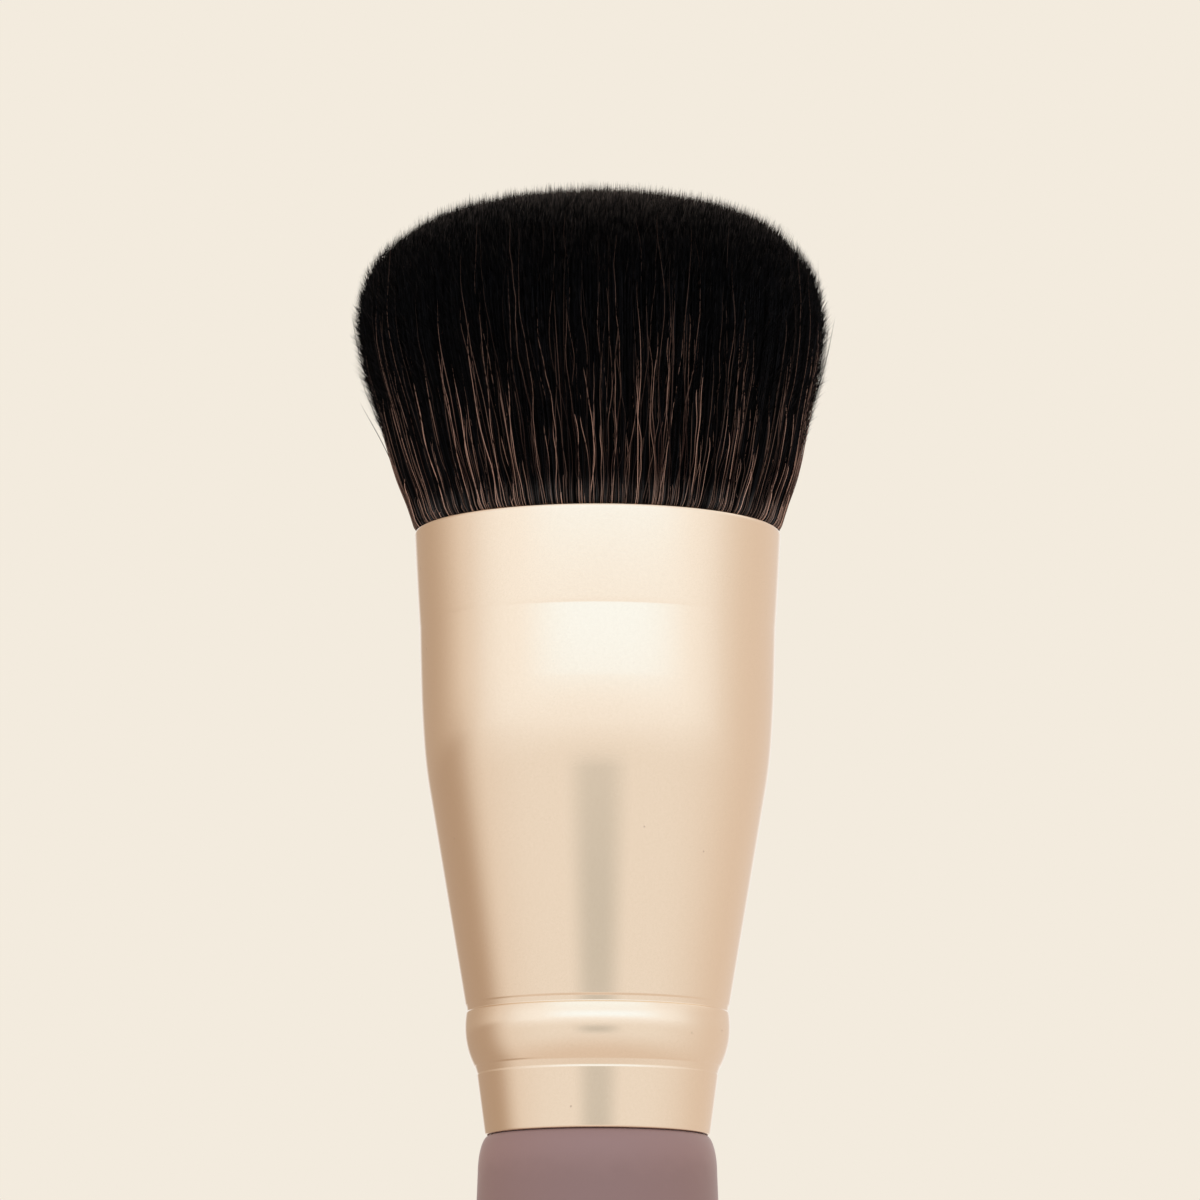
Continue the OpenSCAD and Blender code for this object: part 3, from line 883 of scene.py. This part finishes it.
head = {
    "seed": 71,
    "outline": [  # height and radius of the head's side, from the mouth to the belly
        (143.3, 10.22), (144.10, 10.40), (144.40, 10.53), (144.58, 10.67), (144.72, 10.80),
        (144.95, 10.93), (145.57, 11.12), (146.31, 11.36), (147.77, 11.93), (149.24, 12.45),
        (150.71, 12.93), (152.18, 13.44), (153.66, 13.86), (155.13, 14.16), (156.61, 14.32),
        (157.35, 14.36),
    ],
    "beltRadius": 14.36,
    "beltHeight": 157.35,
    "domeHeight": 7.65,
    "domePower": 2.48,
    "domeTrim": [  # share of the radius, and how far the dome is lower there
        (0.0, 0.24), (0.5, 0.24), (0.65, 0.19), (0.76, 0.11), (0.83, 0.13), (0.9, 0.27),
        (0.95, 0.40), (1.0, 0.60),
    ],
    "looseDepth": 0.42,  # the outermost layer is only thin fuzz
    "looseRise": (147.0, 153.0),  # between these heights it grows to that depth
    "lean": -0.40,  # sideways, and less again at the top
    "leanRise": (145.0, 158.0),
    "leanFall": (160.5, 164.0),
    "leanBack": 0.8,
    "waveRise": (144.9, 149.0),  # plain filaments start to wave here
    "bundles": 14000,  # small bundles that neighbouring tips gather in
    "gather": 4.0,  # length of the tip that bends into its bundle
    "pull": (0.10, 0.60),  # share of the way that it bends
    "drop": 0.30,  # how far a bundle may end below the dome
}

draw = np.random.default_rng(head["seed"])
outlineHeights = np.array([z for z, r in head["outline"]])
outlineRadii = np.array([r for z, r in head["outline"]])


def randomTurns(shape):
    return draw.random(shape) * 2 * math.pi


def sideRadius(heights):
    loose = head["looseDepth"] * smooth(heights, *head["looseRise"])
    return np.interp(heights, outlineHeights, outlineRadii) - loose


def domeTop(share):
    fall = np.clip(1 - np.clip(share, 0, 1) ** head["domePower"], 0, 1)
    trim = np.interp(share, *zip(*head["domeTrim"]))
    return head["beltHeight"] + head["domeHeight"] * fall ** (1 / head["domePower"]) - trim


# Above the belly the surface follows the dome
def surfaceRadius(heights):
    shares = np.linspace(1, 0, 200)
    onDome = np.interp(heights, np.maximum.accumulate(domeTop(shares)), shares)
    return np.minimum(sideRadius(heights), onDome * (head["beltRadius"] - head["looseDepth"]))


def headLean(heights):
    upright = 1 - head["leanBack"] * smooth(heights, *head["leanFall"])
    return head["lean"] * smooth(heights, *head["leanRise"]) * upright


# Points on a disc, and paths round the head at a radius and an angle for each height
def onDisc(spread, turn):
    return np.stack([spread * np.cos(turn), spread * np.sin(turn)], axis=1)


def pathsAround(radius, angle, heights):
    across = radius * np.cos(angle) + headLean(heights)
    return np.stack([across, radius * np.sin(angle), heights], axis=2)


# Three-sided tubes along many paths at once: paths is strands x stations x 3
def strandPiece(name, paths, radii, cells, material):
    strands, stations = paths.shape[:2]
    along = np.gradient(paths, axis=1)
    along /= np.linalg.norm(along, axis=2, keepdims=True)
    outward = paths[:, :1, :] * (1, 1, 0) + (1e-6, 0, 0)
    outward = outward / np.linalg.norm(outward, axis=2, keepdims=True)
    sideA = np.cross(along, np.broadcast_to(outward, along.shape))
    sideA /= np.linalg.norm(sideA, axis=2, keepdims=True)
    sideB = np.cross(along, sideA)
    rings = stations - 1
    angles = np.radians([30.0, 150.0, 270.0])
    corners = (
        paths[:, :rings, None, :]
        + radii[:, :rings, None, None]
        * (np.cos(angles)[None, None, :, None] * sideA[:, :rings, None, :]
           + np.sin(angles)[None, None, :, None] * sideB[:, :rings, None, :])
    )
    perStrand = rings * 3 + 1
    points = np.concatenate([corners.reshape(strands, rings * 3, 3), paths[:, -1:, :]], axis=1)
    quads, quadPlaces = [], []
    for ring in range(rings - 1):
        for k in range(3):
            after = (k + 1) % 3
            quads.append((ring * 3 + k, ring * 3 + after, ring * 3 + 3 + after, ring * 3 + 3 + k))
            quadPlaces.append((k, ring))
    quads = np.array(quads, int).reshape(-1, 4)
    top = (rings - 1) * 3
    tris = np.array([(top + k, top + (k + 1) % 3, rings * 3) for k in range(3)] + [(2, 1, 0)])
    offsets = (np.arange(strands) * perStrand)[:, None, None]
    quadLoops = (quads[None] + offsets).reshape(-1)
    triLoops = (tris[None] + offsets).reshape(-1)
    loops = np.concatenate([quadLoops, triLoops]).astype(np.int32)
    quadTotal, triTotal = strands * len(quads), strands * len(tris)
    quadStarts = np.arange(quadTotal) * 4
    triStarts = quadTotal * 4 + np.arange(triTotal) * 3
    starts = np.concatenate([quadStarts, triStarts]).astype(np.int32)
    mesh = bpy.data.meshes.new(name)
    mesh.vertices.add(strands * perStrand)
    mesh.vertices.foreach_set("co", (points * mm).astype(np.float32).ravel())
    mesh.loops.add(len(loops))
    mesh.loops.foreach_set("vertex_index", loops)
    mesh.polygons.add(len(starts))
    mesh.polygons.foreach_set("loop_start", starts)
    # U stays inside the strand's cell, V runs from its root to its tip
    cellWidth = 1.0 / strandCells
    left = (cells * cellWidth)[:, None]
    side = np.array([(k + 0.1, k + 0.9, k + 0.9, k + 0.1) for k, ring in quadPlaces])
    side = side / 3 * cellWidth
    rise = np.array([(ring, ring, ring + 1, ring + 1) for k, ring in quadPlaces]) / rings
    quadU = left + side.reshape(1, -1)
    quadV = np.broadcast_to(rise.reshape(1, -1), quadU.shape)
    triSide = np.array([(k + 0.1, k + 0.9, k + 0.5) for k in range(3)] + [(0.1, 1.5, 2.9)])
    triSide = triSide / 3 * cellWidth
    triRise = np.array([(rings - 1, rings - 1, rings)] * 3 + [(0, 0.05, 0)]) / rings
    triU = left + triSide.reshape(1, -1)
    triV = np.broadcast_to(triRise.reshape(1, -1), triU.shape)
    uvs = np.concatenate([
        np.stack([quadU.ravel(), quadV.ravel()], axis=1),
        np.stack([triU.ravel(), triV.ravel()], axis=1),
    ])
    mesh.uv_layers.new(name="OFBake").data.foreach_set("uv", uvs.astype(np.float32).ravel())
    mesh.materials.append(material)
    mesh.update(calc_edges=True)
    mesh.shade_smooth()
    mesh.validate()
    return addObject(name, mesh)


# Tips gather in small bundles, and each bundle ends at its own height
bundlePlace = np.sqrt(draw.random(head["bundles"]))
bundlePlace = onDisc(bundlePlace, randomTurns(head["bundles"]))
bundlePull = draw.uniform(*head["pull"], head["bundles"])
bundleDrop = draw.random(head["bundles"]) ** 1.4 * head["drop"]
bundleTree = KDTree(head["bundles"])
for index, (across, back) in enumerate(bundlePlace):
    bundleTree.insert((across, back, 0), index)
bundleTree.balance()


def nearestBundle(places):
    return np.array([bundleTree.find((across, back, 0))[1] for across, back in places])


# Paths of plain filaments from their place in the head, given as a share of its radius
def filamentPaths(place, bundle, heights, wave, waveLength):
    strands = len(place)
    tips = heights[:, -1:]
    pull = bundlePull[bundle][:, None] * smooth(heights, tips - head["gather"], tips)
    towards = bundlePlace[bundle] - place
    place = place[:, None, :] + towards[:, None, :] * pull[:, :, None]
    flat = place * sideRadius(heights)[:, :, None]
    above = np.clip(heights - head["waveRise"][0], 0, None)
    grow = smooth(heights, *head["waveRise"])
    for k in range(2):
        phase = randomTurns((strands, 1))
        size = wave * draw.uniform(0.3, 1.0, (strands, 1))
        pitch = waveLength * draw.uniform(0.7, 1.5, (strands, 1))
        flat[:, :, k] += size * grow * np.sin(2 * math.pi * above / pitch + phase)
    flat[:, :, 0] += headLean(heights)
    return np.concatenate([flat, heights[:, :, None]], axis=2)


# taper says from which share of the length a filament thins, and by how much
def taperedRadii(thickness, shares, taper):
    start, loss = taper
    return thickness[:, None] * (1 - loss * smooth(shares, start, 1.0))


# Strands of one bundle have like tones, so the tips look mottled and not even
def bundleCells(bundle):
    return (bundle * 29 + draw.integers(0, 5, len(bundle))) % strandCells


outerFilaments = {
    "count": 11000,
    "pieces": 4,
    "depth": 0.065,  # share of the head's radius that they take up
    "inward": 0.85,  # 1 is even, and less puts more of them inwards
    "radius": (0.026, 0.038),
    "taper": (0.93, 0.6),
    "foot": (143.40, 144.30, 144.55, 144.75, 145.05),  # heights that they share at the mouth
    "uneven": 0.12,
    "wave": 0.055,
    "waveLength": 9.0,
    "splay": 0.09,  # how far the tips turn outwards, from this share of the length
    "splayFrom": 0.84,
}


def makeOuterFilaments():
    look = outerFilaments
    count = look["count"]
    spread = 1 - look["depth"] * draw.random(count) ** look["inward"]
    turn = randomTurns(count)
    place = onDisc(spread, turn)
    bundle = nearestBundle(place)
    tip = domeTop(spread) - bundleDrop[bundle] - np.abs(draw.normal(0, look["uneven"], count))
    foot = np.array(look["foot"])
    shares = np.linspace(0, 1, 11)[1:]
    heights = np.concatenate([
        np.broadcast_to(foot, (count, len(foot))),
        foot[-1] + (tip - foot[-1])[:, None] * shares[None],
    ], axis=1)
    paths = filamentPaths(place, bundle, heights, look["wave"], look["waveLength"])
    along = (heights - foot[0]) / (tip[:, None] - foot[0])
    splay = draw.exponential(look["splay"], (count, 1)) * smooth(along, look["splayFrom"], 1.0)
    paths[:, :, :2] *= 1 + splay[:, :, None] / head["beltRadius"]
    radii = taperedRadii(draw.uniform(*look["radius"], count), along, look["taper"])
    cells = draw.integers(0, strandCells, count)
    sector = np.floor((turn / (2 * math.pi)) * look["pieces"]).astype(int) % look["pieces"]
    pieces = []
    for k in range(look["pieces"]):
        part = sector == k
        name = "outerFilaments_%d" % (k + 1)
        pieces.append(strandPiece(name, paths[part], radii[part], cells[part], looks["black"]))
    return pieces


innerFilaments = {
    "count": 60000,
    "pieces": 5,
    "length": 3.4,  # only their upper ends, because the heart fills the rest
    "radius": (0.028, 0.042),
    "taper": (0.70, 0.5),
    "uneven": 0.07,
    "longShare": 0.12,  # some stand out above their bundle
    "longBy": 0.11,
    "wave": 0.055,
    "waveLength": 7.0,
}


def makeInnerFilaments():
    look = innerFilaments
    count = look["count"]
    edge = 1 - outerFilaments["depth"] * 0.6
    spread = edge * np.sqrt(draw.random(count))
    place = onDisc(spread, randomTurns(count))
    bundle = nearestBundle(place)
    tip = domeTop(spread) - bundleDrop[bundle] - np.abs(draw.normal(0, look["uneven"], count))
    isLong = draw.random(count) < look["longShare"]
    tip += np.where(isLong, draw.exponential(look["longBy"], count), 0)
    shares = np.array([0.0, 0.4, 0.75, 1.0])
    heights = (tip - look["length"])[:, None] + look["length"] * shares[None]
    paths = filamentPaths(place, bundle, heights, look["wave"], look["waveLength"])
    radii = taperedRadii(draw.uniform(*look["radius"], count), shares, look["taper"])
    cells = bundleCells(bundle)
    order = np.argsort(spread)
    return [
        strandPiece("innerFilaments_%d" % (k + 1), paths[part], radii[part], cells[part], looks["tips"])
        for k, part in enumerate(np.array_split(order, look["pieces"]))
    ]


brownFilaments = {
    "count": 1090,
    "groups": 90,  # some of them lie close together
    "groupShare": 0.12,
    "groupSpread": 0.03,
    "sideBand": (0.90, 0.985),  # between these, near the left and the right, there are fewer
    "sideShare": 0.50,
    "radius": (0.014, 0.024),
    "taper": (0.70, 0.7),
    "foot": 143.8,
    "mouth": 144.6,
    "shortest": 0.4,
    "longest": 16.5,
    "lengthPower": 1.2,  # above 1 makes more short ones
    "buried": 0.46,  # share of them that is among the black ones
    "buriedSpread": (0.972, 0.993),  # in shares of the head's radius, and so is the next
    "openSpread": (1.000, 1.014),
    "sink": 0.030,  # how far their tips go in among the black ones
    "crimps": ((0.04, 2.6), (0.13, 6.5), (0.30, 16.0)),  # size and length of the waves
    "waveRise": (144.4, 147.0),
    "slope": 0.030,  # how far they lean to one side, by their height
}


# Crimped brown filaments start at the mouth and are covered by the black ones as they rise
def makeBrownFilaments():
    look = brownFilaments
    count = look["count"]
    groups = randomTurns(look["groups"])
    evenly = (np.arange(count) + draw.normal(0, 0.9, count)) / count * 2 * math.pi
    turn = np.where(
        draw.random(count) < look["groupShare"],
        groups[draw.integers(0, len(groups), count)] + draw.normal(0, look["groupSpread"], count),
        evenly,
    )
    sideways = np.abs(np.cos(turn))
    atSide = (sideways >= look["sideBand"][0]) & (sideways <= look["sideBand"][1])
    turn = turn[~atSide | (draw.random(count) < look["sideShare"])]
    count = len(turn)
    length = look["shortest"] + look["longest"] * draw.random(count) ** look["lengthPower"]
    buried = draw.random(count) < look["buried"]
    inside = draw.uniform(*look["buriedSpread"], count)
    spread = np.where(buried, inside, draw.uniform(*look["openSpread"], count))
    shares = np.linspace(0, 1, 26)
    top = look["mouth"] + length
    heights = look["foot"] + (top - look["foot"])[:, None] * shares[None]
    above = np.clip(heights - look["mouth"], 0, None)
    sink = look["sink"] * smooth(shares, 0.70, 1.0)[None] * draw.uniform(0.2, 1.2, (count, 1))
    radius = sideRadius(heights) * (spread[:, None] - sink)
    grow = smooth(heights, *look["waveRise"])
    sway = np.zeros_like(heights)
    for size, pitch in look["crimps"]:
        amount = size * draw.uniform(0.1, 1.0, (count, 1)) ** 1.3
        waves = pitch * draw.uniform(0.75, 1.35, (count, 1))
        sway += amount * grow * np.sin(2 * math.pi * above / waves + randomTurns((count, 1)))
    sway += draw.normal(0, look["slope"], (count, 1)) * above
    paths = pathsAround(radius, turn[:, None] + sway / radius, heights)
    radii = taperedRadii(draw.uniform(*look["radius"], count), shares, look["taper"])
    cells = draw.integers(0, strandCells, count)
    return strandPiece("brownFilaments", paths, radii, cells, looks["brown"])


strayFilaments = {
    "count": 60,
    "radius": (0.018, 0.026),
    "taper": (0.4, 0.7),
    "foot": (147.0, 153.0),
    "length": (3.0, 7.0),
    "away": (0.12, 0.62),  # how far the tips stand off
    "bend": 1.4,
    "sway": 0.02,
}


# A few loose filaments stand away from the sides
def makeStrayFilaments():
    look = strayFilaments
    count = look["count"]
    turn = randomTurns(count)
    shares = np.linspace(0, 1, 12)
    low = draw.uniform(*look["foot"], count)
    high = low + draw.uniform(*look["length"], count)
    heights = low[:, None] + (high - low)[:, None] * shares[None]
    away = draw.uniform(*look["away"], (count, 1)) * shares[None] ** look["bend"]
    radius = np.interp(heights, outlineHeights, outlineRadii) + away
    angle = turn[:, None] + draw.normal(0, look["sway"], (count, 1)) * shares[None]
    paths = pathsAround(radius, angle, heights)
    radii = taperedRadii(draw.uniform(*look["radius"], count), shares, look["taper"])
    cells = draw.integers(0, strandCells, count)
    return strandPiece("strayFilaments", paths, radii, cells, looks["black"])


# Straight short strands from one foot and one tip each
def shortEnds(name, turn, radius, heights, thickness, material):
    angle = turn[:, None] + draw.normal(0, 0.008, (len(turn), 1)) * (0, 1)
    paths = pathsAround(radius, angle, heights)
    radii = np.stack([thickness, thickness * 0.3], axis=1)
    cells = draw.integers(0, strandCells, len(turn))
    return strandPiece(name, paths, radii, cells, material)


fuzzFilaments = {
    "count": 24000,
    "radius": (0.012, 0.020),
    "proud": 0.19,
    "proudLimits": (0.03, 0.5),
    "buried": 0.7,  # length below the dome's surface
    "towardsEdge": 0.43,  # 0.5 is even, and less puts more of them at the edge
}


# Fine tips that stand just proud of the dome, made pale by painted sheen
def makeFuzzFilaments():
    look = fuzzFilaments
    count = look["count"]
    turn = randomTurns(count)
    least, most = look["proudLimits"]
    proud = np.minimum(least + draw.exponential(look["proud"], count), most)
    share = draw.random(count) ** look["towardsEdge"]
    top = domeTop(share) + proud
    heights = np.stack([top - look["buried"] - proud, top], axis=1)
    footRadius = share * (head["beltRadius"] - head["looseDepth"])
    radius = np.stack([footRadius, footRadius + share ** 3 * proud], axis=1)
    thickness = draw.uniform(*look["radius"], count)
    return shortEnds("fuzzFilaments", turn, radius, heights, thickness, looks["fuzz"])


sideFuzzFilaments = {
    "count": 15000,
    "radius": (0.015, 0.024),
    "top": 160.9,
    "reach": 13.7,  # how far down they go from there
    "lowPower": 1.1,
    "length": (0.5, 1.2),
    "buried": 0.05,
    "proud": 0.07,  # beyond the loose layer
    "proudLimits": (0.03, 0.85),
    "spread": 0.13,
    "tuft": 0.4,  # width of the small tufts
    "tuftHeight": 1.8,  # in tuft widths
}


# Neighbouring ends form small tufts that stand away by a like amount
def tuftedProud(look, across, up):
    places = np.floor(np.stack([across, up / look["tuftHeight"]]) / look["tuft"]).astype(int)
    amounts = draw.normal(0, look["spread"], 4096)
    tufts = amounts[(places[0] * 73 + places[1] * 151) % len(amounts)]
    singles = draw.normal(0, look["spread"] * 0.8, len(across))
    amount = tufts * 0.6 + singles
    return np.clip(head["looseDepth"] + look["proud"] + amount, *look["proudLimits"])


# Short dark ends that stand away from the sides, with a faint painted sheen on their tips
def makeSideFuzz():
    look = sideFuzzFilaments
    count = look["count"]
    turn = randomTurns(count)
    foot = look["top"] - look["reach"] * draw.random(count) ** look["lowPower"]
    proud = tuftedProud(look, turn * head["beltRadius"], foot)
    proud = proud * smooth(foot, *head["looseRise"])
    heights = np.stack([foot, foot + draw.uniform(*look["length"], count)], axis=1)
    radius = surfaceRadius(heights) + np.stack([-look["buried"] + 0 * proud, proud], axis=1)
    thickness = draw.uniform(*look["radius"], count)
    return shortEnds("sideFuzzFilaments", turn, radius, heights, thickness, looks["sideFuzz"])


tuftHeart = {
    "share": 0.925,  # of the head's radius
    "sunk": 0.95,  # how far it stays below the tips
    "foot": 143.0,
    "footRadius": 9.0,
    "roundness": 0.8,
}


# The middle of the tuft, under the tips
def makeTuftHeart():
    heart = tuftHeart
    profile = [(0.0, heart["foot"]), (heart["footRadius"], heart["foot"])]
    for z in np.linspace(heart["foot"] + 0.2, head["beltHeight"], 24):
        profile.append((float(heart["share"] * sideRadius(z)), float(z)))
    flatten = 1 - heart["sunk"] / head["domeHeight"]
    for angle in np.radians(np.linspace(4, 90, 26)):
        across = math.cos(angle) ** heart["roundness"]
        rise = (domeTop(across) - head["beltHeight"]) * flatten
        radius = heart["share"] * across * head["beltRadius"]
        profile.append((float(radius), float(head["beltHeight"] + rise)))
    profile[-1] = (0.0, profile[-1][1])
    return turnPiece("tuftHeart", profile, looks["black"], closed=False, steps=96)


outerPieces = makeOuterFilaments()
print("outer filaments made")
innerPieces = makeInnerFilaments()
print("inner filaments made")
brownPiece = makeBrownFilaments()
strayPiece = makeStrayFilaments()
fuzzPiece = makeFuzzFilaments()
sideFuzzPiece = makeSideFuzz()
heartPiece = makeTuftHeart()
print("brown and loose filaments made")

blackPieces = outerPieces + innerPieces + [strayPiece, fuzzPiece, sideFuzzPiece, heartPiece]
for piece in outerPieces:
    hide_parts("bristles_outer")
for piece in innerPieces + [heartPiece]:
    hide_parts("bristles_core", "bristles_middle")
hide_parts("bristles_crimped")
for piece in blackPieces + [brownPiece]:
    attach(piece, "root")


floorSetup = {
    "size": 4000.0,
    "colour": (0.86, 0.80, 0.70),
    "grain": {"Grain Size": 0.8, "Patch Size": 120.0, "Grain": 0.2, "Patches": 0.3},
}


def makeFloor():
    look = floorSetup
    half = look["size"] / 2 * mm
    corners = [(-half, -half, 0), (half, -half, 0), (half, half, 0), (-half, half, 0)]
    material, tree, shader = newMaterial("paleFloor", look["colour"])
    grain = placeGroup(tree, grainGroup, look["grain"])
    pale = tuple(value * 1.03 for value in look["colour"])
    dull = tuple(value * 0.98 for value in look["colour"])
    rough = addMath(tree, "MULTIPLY_ADD", grain["Patch"], 0.1, 0.75)
    setFinish(tree, shader, addMix(tree, grain["Tone"], dull, pale), rough)
    shader.inputs["Specular IOR Level"].default_value = 0.1
    floor = makeMesh("floor", corners, [(0, 1, 2, 3)], [(0, 0), (1, 0), (1, 1), (0, 1)], material)
    floor.visible_glossy = False


makeFloor()
print("floor laid")
